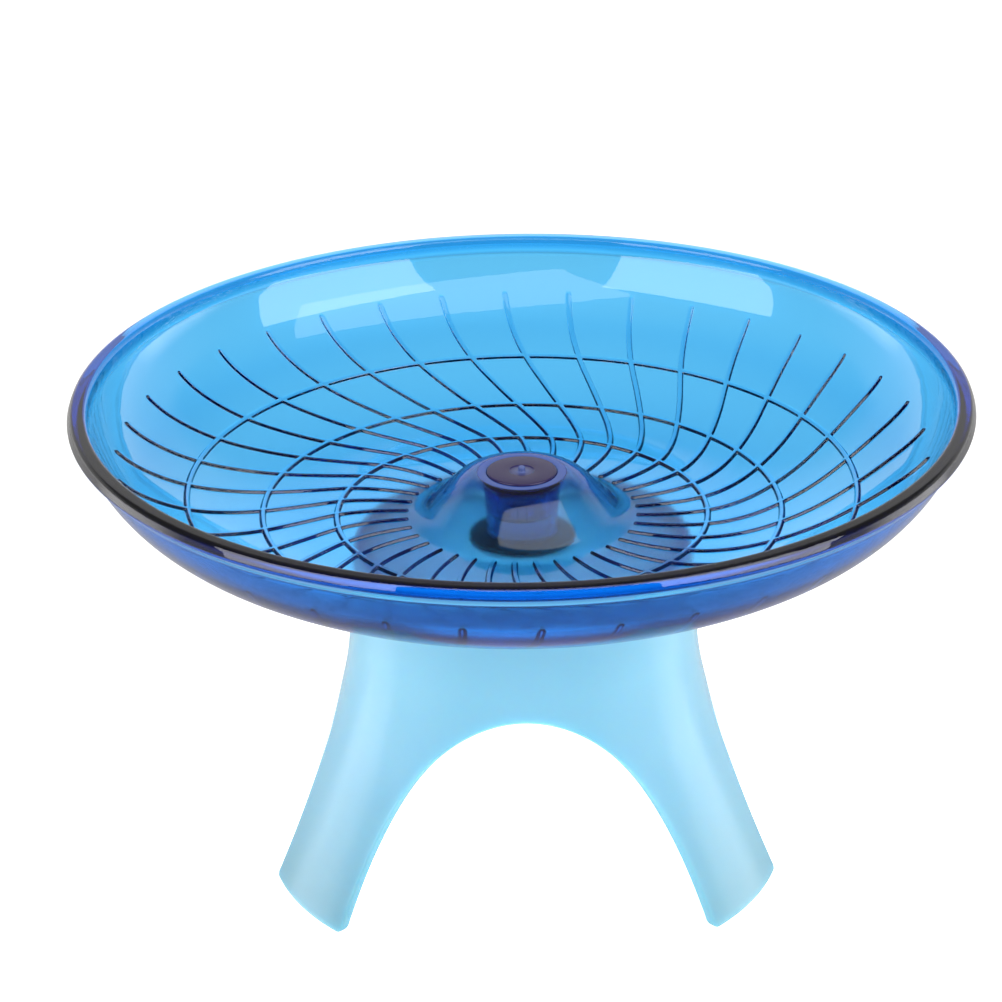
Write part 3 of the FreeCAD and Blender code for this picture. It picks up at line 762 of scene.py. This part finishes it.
def ramp(nt, fac, lo, hi, a, b):
    n = nt.nodes.new("ShaderNodeMapRange")
    n.inputs["From Min"].default_value = lo
    n.inputs["From Max"].default_value = hi
    n.inputs["To Min"].default_value = a
    n.inputs["To Max"].default_value = b
    nt.links.new(fac, n.inputs["Value"])
    return n.outputs["Result"]


def mix_colour(nt, fac, a, b):
    n = nt.nodes.new("ShaderNodeMix")
    n.data_type = 'RGBA'
    nt.links.new(fac, n.inputs["Factor"])
    n.inputs["A"].default_value = (*a, 1)
    n.inputs["B"].default_value = (*b, 1)
    return n.outputs["Result"]


def add_bump(nt, bsdf, height, strength, distance_mm):
    b = nt.nodes.new("ShaderNodeBump")
    b.inputs["Strength"].default_value = strength
    b.inputs["Distance"].default_value = distance_mm * MM
    nt.links.new(height, b.inputs["Height"])
    nt.links.new(b.outputs["Normal"], bsdf.inputs["Normal"])


def clear_blue():
    m, nt, b, out = material("clear_blue_plastic")
    v = coords(nt)
    b.inputs["IOR"].default_value = 1.56
    # painted shade: the colour is a little deeper over the floor than up the wall or on the hub, standing in for the
    # shaded ground seen through it
    soft = noise(nt, v, 0.035, 2.0)
    flat = nt.nodes.new("ShaderNodeVectorMath")
    flat.operation = 'MULTIPLY'
    flat.inputs[1].default_value = (1.0, 1.0, 0.0)
    nt.links.new(v, flat.inputs[0])
    rad = nt.nodes.new("ShaderNodeVectorMath")
    rad.operation = 'LENGTH'
    nt.links.new(flat.outputs[0], rad.inputs[0])
    tint = nt.nodes.new("ShaderNodeMix")
    tint.data_type = 'RGBA'
    floor_shade = nt.nodes.new("ShaderNodeMath")
    floor_shade.operation = 'MULTIPLY'
    nt.links.new(ramp(nt, rad.outputs["Value"], 44.0, 66.0, 1.0, 0.0), floor_shade.inputs[0])
    nt.links.new(ramp(nt, rad.outputs["Value"], 18.0, 25.0, 0.35, 1.0), floor_shade.inputs[1])
    nt.links.new(floor_shade.outputs[0], tint.inputs["Factor"])
    nt.links.new(mix_colour(nt, soft, (0.97, 0.985, 1.0), (1.0, 1.0, 1.0)), tint.inputs["A"])
    nt.links.new(mix_colour(nt, soft, (0.42, 0.79, 0.94), (0.48, 0.82, 0.96)), tint.inputs["B"])
    # polished inside, finely matt on the outside of the mould, frosted round the cap; the frosted ring's dark, nearly
    # opaque blue is painted shade
    fine = noise(nt, v, 0.9, 4.0, 0.6)
    matt_and_shade = nt.nodes.new("ShaderNodeAttribute")
    matt_and_shade.attribute_name = "matt_and_shade"
    # painted shade: the frosted ring turns dark blue and nearly opaque
    painted_shade_ring = nt.nodes.new("ShaderNodeMix")
    painted_shade_ring.data_type = 'RGBA'
    nt.links.new(ramp(nt, matt_and_shade.outputs["Fac"], 1.0, 1.3, 0.0, 1.0), painted_shade_ring.inputs["Factor"])
    nt.links.new(tint.outputs["Result"], painted_shade_ring.inputs["A"])
    nt.links.new(mix_colour(nt, fine, (0.030, 0.085, 0.37), (0.040, 0.105, 0.43)), painted_shade_ring.inputs["B"])
    nt.links.new(painted_shade_ring.outputs["Result"], b.inputs["Base Color"])
    nt.links.new(ramp(nt, matt_and_shade.outputs["Fac"], 1.3, 2.6, 1.0, 0.15), b.inputs["Transmission Weight"])
    low, high = ramp(nt, fine, 0.35, 0.75, 0.006, 0.04), ramp(nt, fine, 0.3, 0.75, 0.14, 0.20)
    mixr = nt.nodes.new("ShaderNodeMix")
    mixr.data_type = 'FLOAT'
    nt.links.new(matt_and_shade.outputs["Fac"], mixr.inputs["Factor"])
    nt.links.new(low, mixr.inputs["A"])
    nt.links.new(high, mixr.inputs["B"])
    nt.links.new(mixr.outputs["Result"], b.inputs["Roughness"])
    wave = noise(nt, v, 0.05, 2.0, 0.4)
    add_bump(nt, b, wave, 0.25, 0.25)
    va = nt.nodes.new("ShaderNodeVolumeAbsorption")
    va.inputs["Color"].default_value = (0.04, 0.686, 0.905, 1.0)
    va.inputs["Density"].default_value = 1000.0
    nt.links.new(va.outputs[0], out.inputs["Volume"])
    return m


def smoky_cap():
    m, nt, b, out = material("smoky_cap_plastic")
    v = coords(nt)
    b.inputs["IOR"].default_value = 1.50
    # a paler gate mark in the middle of the disc
    sep = nt.nodes.new("ShaderNodeSeparateXYZ")
    nt.links.new(v, sep.inputs[0])
    rad = nt.nodes.new("ShaderNodeVectorMath")
    rad.operation = 'LENGTH'
    comb = nt.nodes.new("ShaderNodeCombineXYZ")
    nt.links.new(sep.outputs["X"], comb.inputs["X"])
    nt.links.new(sep.outputs["Y"], comb.inputs["Y"])
    nt.links.new(comb.outputs[0], rad.inputs[0])
    n = noise(nt, v, 0.35, 4.0)
    body = mix_colour(nt, n, (0.016, 0.009, 0.060), (0.028, 0.016, 0.084))
    gate = nt.nodes.new("ShaderNodeMix")
    gate.data_type = 'RGBA'
    nt.links.new(ramp(nt, rad.outputs["Value"], 0.62, 2.7, 1.0, 0.0), gate.inputs["Factor"])
    nt.links.new(body, gate.inputs["A"])
    gate.inputs["B"].default_value = (0.085, 0.12, 0.32, 1)
    # the plug under the disc is a paler blue
    plug = nt.nodes.new("ShaderNodeMix")
    plug.data_type = 'RGBA'
    nt.links.new(ramp(nt, sep.outputs["Z"], 85.0, 85.15, 1.0, 0.0), plug.inputs["Factor"])
    nt.links.new(gate.outputs["Result"], plug.inputs["A"])
    nt.links.new(mix_colour(nt, n, (0.17, 0.33, 0.62), (0.21, 0.38, 0.68)), plug.inputs["B"])
    nt.links.new(plug.outputs["Result"], b.inputs["Base Color"])
    nt.links.new(ramp(nt, noise(nt, v, 2.0, 3.0), 0.3, 0.7, 0.16, 0.26), b.inputs["Roughness"])
    add_bump(nt, b, noise(nt, v, 1.2, 3.0), 0.2, 0.05)
    return m


def pale_blue():
    m, nt, b, out = material("pale_blue_plastic")
    v = coords(nt)
    b.inputs["IOR"].default_value = 1.50
    b.inputs["Subsurface Weight"].default_value = 0.9
    b.inputs["Subsurface Radius"].default_value = (0.7, 1.2, 1.6)
    b.inputs["Subsurface Scale"].default_value = 3.0 * MM
    thin = nt.nodes.new("ShaderNodeAttribute")
    thin.attribute_name = "thin"
    n = noise(nt, v, 0.03, 3.0)
    tone = nt.nodes.new("ShaderNodeMix")
    tone.data_type = 'RGBA'
    nt.links.new(thin.outputs["Fac"], tone.inputs["Factor"])
    # the legs are painted a little darker towards the feet: painted shade
    sep = nt.nodes.new("ShaderNodeSeparateXYZ")
    nt.links.new(v, sep.inputs[0])
    leg = nt.nodes.new("ShaderNodeMix")
    leg.data_type = 'RGBA'
    nt.links.new(ramp(nt, sep.outputs["Z"], 4.0, 52.0, 0.0, 1.0), leg.inputs["Factor"])
    nt.links.new(mix_colour(nt, n, (0.186, 0.400, 0.470), (0.208, 0.423, 0.490)), leg.inputs["A"])
    nt.links.new(mix_colour(nt, n, (0.255, 0.548, 0.668), (0.284, 0.577, 0.692)), leg.inputs["B"])
    nt.links.new(leg.outputs["Result"], tone.inputs["A"])
    nt.links.new(mix_colour(nt, n, (0.90, 0.975, 0.99), (0.93, 0.985, 1.0)), tone.inputs["B"])
    nt.links.new(tone.outputs["Result"], b.inputs["Base Color"])
    nt.links.new(ramp(nt, thin.outputs["Fac"], 0.0, 1.0, 0.0, 0.96), b.inputs["Transmission Weight"])
    gloss = nt.nodes.new("ShaderNodeMix")
    gloss.data_type = 'FLOAT'
    fine = noise(nt, v, 0.6, 4.0)
    nt.links.new(thin.outputs["Fac"], gloss.inputs["Factor"])
    nt.links.new(ramp(nt, fine, 0.3, 0.7, 0.14, 0.22), gloss.inputs["A"])
    nt.links.new(ramp(nt, fine, 0.3, 0.7, 0.90, 0.98), gloss.inputs["B"])
    nt.links.new(gloss.outputs["Result"], b.inputs["Roughness"])
    add_bump(nt, b, noise(nt, v, 0.12, 3.0, 0.45), 0.18, 0.25)
    return m


def steel(name, tint, rough, lines):
    m, nt, b, out = material(name)
    v = coords(nt)
    b.inputs["Metallic"].default_value = 1.0
    n = noise(nt, v, 0.8, 4.0)
    nt.links.new(mix_colour(nt, n, tuple(c * 0.86 for c in tint), tint), b.inputs["Base Color"])
    w = nt.nodes.new("ShaderNodeTexWave")
    w.wave_type = 'RINGS'
    w.rings_direction = 'Z'
    w.inputs["Scale"].default_value = lines
    w.inputs["Distortion"].default_value = 1.5
    w.inputs["Detail"].default_value = 2.0
    nt.links.new(v, w.inputs["Vector"])
    nt.links.new(ramp(nt, w.outputs["Fac"], 0.0, 1.0, rough, rough + 0.14), b.inputs["Roughness"])
    add_bump(nt, b, w.outputs["Fac"], 0.25, 0.01)
    return m


def dull_plastic(name, a, c, rough):
    m, nt, b, out = material(name)
    v = coords(nt)
    n = noise(nt, v, 0.7, 5.0)
    nt.links.new(mix_colour(nt, n, a, c), b.inputs["Base Color"])
    nt.links.new(ramp(nt, noise(nt, v, 2.5, 3.0), 0.3, 0.7, rough, rough + 0.15), b.inputs["Roughness"])
    add_bump(nt, b, noise(nt, v, 3.0, 4.0), 0.35, 0.04)
    return m


M_BLUE = clear_blue()
M_CAP = smoky_cap()
M_STAND = pale_blue()
M_RACE = steel("bearing_steel_ground", (0.62, 0.63, 0.66), 0.18, 2.2)
M_BALL = steel("polished_steel_balls", (0.80, 0.81, 0.83), 0.05, 0.6)
M_ZINC = steel("zinc_plated_steel", (0.66, 0.68, 0.72), 0.24, 1.4)
M_CAGE = dull_plastic("cage_nylon_natural", (0.70, 0.66, 0.54), (0.78, 0.75, 0.64), 0.42)
M_DARK = dull_plastic("dark_moulded_spacer", (0.010, 0.020, 0.018), (0.028, 0.042, 0.036), 0.38)


def paint(obj, mat):
    obj.data.materials.clear()
    obj.data.materials.append(mat)


def paint_node(node, mat):
    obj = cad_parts[node]
    if not obj.material_slots:
        obj.data.materials.append(mat)
    for s in obj.material_slots:
        s.material = mat


# ==================================================================== assembly
dish = build_dish()
paint(dish, M_BLUE)
place(dish, "dish", "clear_blue", "running_dish")

cap = build_cap()
paint(cap, M_CAP)
place(cap, "dish", "smoky_cap", "hub_cap")

stand = build_stand()
paint(stand, M_STAND)
place(stand, "stand", "pale_blue", "stand")

spacer = build_spacer()
paint(spacer, M_DARK)
place(spacer, "stand", "dark_spacer", "thrust_spacer")

bolt = build_bolt()
paint(bolt, M_ZINC)
place(bolt, "stand", "zinc_steel", "axle_bolt")

for node, mat in (("bearing_outer_race", M_RACE), ("bearing_inner_race", M_RACE), ("bearing_shields", M_RACE),
                  ("bearing_balls", M_BALL), ("bearing_cage", M_CAGE), ("bolt_washer", M_ZINC),
                  ("lock_nut", M_ZINC)):
    paint_node(node, mat)


# ================================================================ floor, lights
def build_floor():
    s = 4.0
    mesh = bpy.data.meshes.new("studio_floor")
    mesh.from_pydata([(-s, -s, 0), (s, -s, 0), (s, s, 0), (-s, s, 0)], [], [(0, 1, 2, 3)])
    mesh.update()
    o = bpy.data.objects.new("studio_floor", mesh)
    scene.collection.objects.link(o)
    m, nt, b, out = material("pale_floor")
    v = coords(nt)
    n = noise(nt, v, 0.02, 3.0)
    nt.links.new(mix_colour(nt, n, (0.80, 0.80, 0.795), (0.82, 0.82, 0.815)), b.inputs["Base Color"])
    b.inputs["Roughness"].default_value = 0.85
    b.inputs["Specular IOR Level"].default_value = 0.1
    b.inputs["Emission Color"].default_value = (1.0, 0.995, 0.985, 1.0)
    # lit evenly like a light table: a little more under the stand and far back
    rad = nt.nodes.new("ShaderNodeVectorMath")
    rad.operation = 'LENGTH'
    nt.links.new(v, rad.inputs[0])
    glow = nt.nodes.new("ShaderNodeMath")
    glow.operation = 'ADD'
    nt.links.new(ramp(nt, rad.outputs["Value"], 30.0, 58.0, 2.0, 0.56), glow.inputs[0])
    nt.links.new(ramp(nt, rad.outputs["Value"], 350.0, 700.0, 0.0, 0.24), glow.inputs[1])
    # and in the shadow of the dish
    shade = nt.nodes.new("ShaderNodeMath")
    shade.operation = 'MULTIPLY_ADD'
    nt.links.new(ramp(nt, rad.outputs["Value"], 70.0, 120.0, 0.0, 0.56), shade.inputs[0])
    nt.links.new(ramp(nt, rad.outputs["Value"], 150.0, 196.0, 1.0, 0.0), shade.inputs[1])
    nt.links.new(glow.outputs[0], shade.inputs[2])
    nt.links.new(shade.outputs[0], b.inputs["Emission Strength"])
    o.data.materials.append(m)
    o.visible_glossy = False
    return o


build_floor()


def soft_box(name, loc, target, sx, sy, power, roll=0.0, colour=(1, 1, 1)):
    l = bpy.data.lights.new(name, 'AREA')
    l.shape = 'RECTANGLE'
    l.size, l.size_y = sx, sy
    l.energy = power
    l.color = colour
    o = bpy.data.objects.new(name, l)
    scene.collection.objects.link(o)
    o.location = loc
    d = Vector(target) - Vector(loc)
    o.rotation_euler = (d.to_track_quat('-Z', 'Y') @ Quaternion((0, 0, 1), math.radians(roll))).to_euler()
    return o


soft_box("softbox_right", (0.73, -0.46, 0.59), (0, 0, 0.08), 0.82, 0.80, 7.4, roll=-16)
soft_box("softbox_left", (-0.73, -0.50, 0.59), (0, 0, 0.08), 0.82, 0.80, 7.4, roll=16)
soft_box("softbox_top", (0.25, -0.41, 1.05), (0.02, 0, 0.08), 1.46, 0.68, 5.6)

# the room: a lit backdrop low down behind the object, dim everywhere else
world = bpy.data.worlds.new("studio_world")
scene.world = world
world.use_nodes = True
wt = world.node_tree
bg = wt.nodes["Background"]
bg.inputs["Color"].default_value = (1.0, 0.995, 0.985, 1.0)
tc = wt.nodes.new("ShaderNodeTexCoord")
sep = wt.nodes.new("ShaderNodeSeparateXYZ")
wt.links.new(tc.outputs["Generated"], sep.inputs[0])


def world_curve(value, stops):
    """Strength along one axis of the room, from -1 to 1."""
    n = wt.nodes.new("ShaderNodeFloatCurve")
    m = wt.nodes.new("ShaderNodeMapRange")
    m.inputs["From Min"].default_value = -1.0
    wt.links.new(value, m.inputs["Value"])
    wt.links.new(m.outputs["Result"], n.inputs["Value"])
    pts = n.mapping.curves[0].points
    while len(pts) < len(stops):
        pts.new(0.5, 0.5)
    for p, (x, y) in zip(pts, stops):
        p.location = (0.5 + 0.5 * x, y)
        p.handle_type = 'VECTOR'
    n.mapping.update()
    return n.outputs["Value"]


def world_math(op, a, b):
    n = wt.nodes.new("ShaderNodeMath")
    n.operation = op
    wt.links.new(a, n.inputs[0])
    if isinstance(b, float):
        n.inputs[1].default_value = b
    else:
        wt.links.new(b, n.inputs[1])
    return n.outputs[0]


# low directions are only met by reflections, since the floor hides them otherwise
room = world_curve(sep.outputs["Z"], ((-1.0, 0.27), (-0.9, 0.36), (-0.8, 0.46), (-0.65, 0.60), (-0.4, 0.72),
                                      (-0.05, 0.9), (0.08, 0.40), (0.30, 0.18), (1.0, 0.14)))
front = world_curve(sep.outputs["Y"], ((-1.0, 0.08), (-0.7, 0.14), (-0.35, 0.8), (-0.2, 1.0), (1.0, 1.0)))
low = world_curve(sep.outputs["Z"], ((-1.0, 0.0), (-0.05, 0.0), (0.02, 0.9), (0.20, 0.8), (0.46, 0.48),
                                     (0.54, 0.02), (1.0, 0.0)))
behind = world_curve(sep.outputs["Y"], ((-1.0, 0.0), (0.05, 0.0), (0.55, 1.0), (1.0, 1.0)))
edge = world_curve(sep.outputs["X"], ((-1.0, 1.0), (-0.85, 1.0), (-0.6, 0.0), (0.6, 0.0), (0.85, 1.0), (1.0, 1.0)))
strip = world_curve(sep.outputs["Z"], ((-1.0, 0.0), (-0.75, 0.0), (-0.40, 0.45), (-0.14, 1.0), (0.10, 1.0), (0.24, 0.0), (1.0, 0.0)))
light = world_math('MULTIPLY', room, front)
light = world_math('ADD', light, world_math('MULTIPLY', low, behind))
side = world_curve(sep.outputs["Y"], ((-1.0, 0.15), (-0.05, 0.20), (0.12, 1.0), (0.42, 1.0), (0.56, 0.15), (1.0, 0.1)))
strip = world_math('MULTIPLY', world_math('MULTIPLY', strip, side), 2.2)
light = world_math('ADD', light, world_math('MULTIPLY', edge, strip))
wt.links.new(light, bg.inputs["Strength"])

# ====================================================================== camera
cam_data = bpy.data.cameras.new("photo_camera")
cam = bpy.data.objects.new("photo_camera", cam_data)
scene.collection.objects.link(cam)
scene.camera = cam
PITCH, ROLL = math.radians(24.83), math.radians(-0.75)
right = Vector((1, 0, 0))
up = Vector((0, math.sin(PITCH), math.cos(PITCH)))
fwd = Vector((0, math.cos(PITCH), -math.sin(PITCH)))
cx = right * math.cos(ROLL) + up * math.sin(ROLL)
cy = -right * math.sin(ROLL) + up * math.cos(ROLL)
cz = -fwd
rot = Matrix((cx, cy, cz)).transposed()
cam.matrix_world = Matrix.Translation(Vector((-4.28, -645.6, 377.5)) * MM) @ rot.to_4x4()
cam_data.sensor_width = 36.0
cam_data.lens = 3500.0 / 1002.0 * 36.0
cam_data.clip_start = 0.01
cam_data.clip_end = 50.0

# ====================================================================== render
scene.view_settings.view_transform = 'Standard'
scene.view_settings.look = 'None'
scene.cycles.use_denoising = True
scene.cycles.max_bounces = 24
scene.cycles.transmission_bounces = 24
scene.cycles.glossy_bounces = 8
scene.cycles.diffuse_bounces = 5
scene.cycles.transparent_max_bounces = 16
scene.cycles.caustics_refractive = True
scene.cycles.caustics_reflective = True
scene.cycles.blur_glossy = 0.5
scene.cycles.sample_clamp_indirect = 6.0
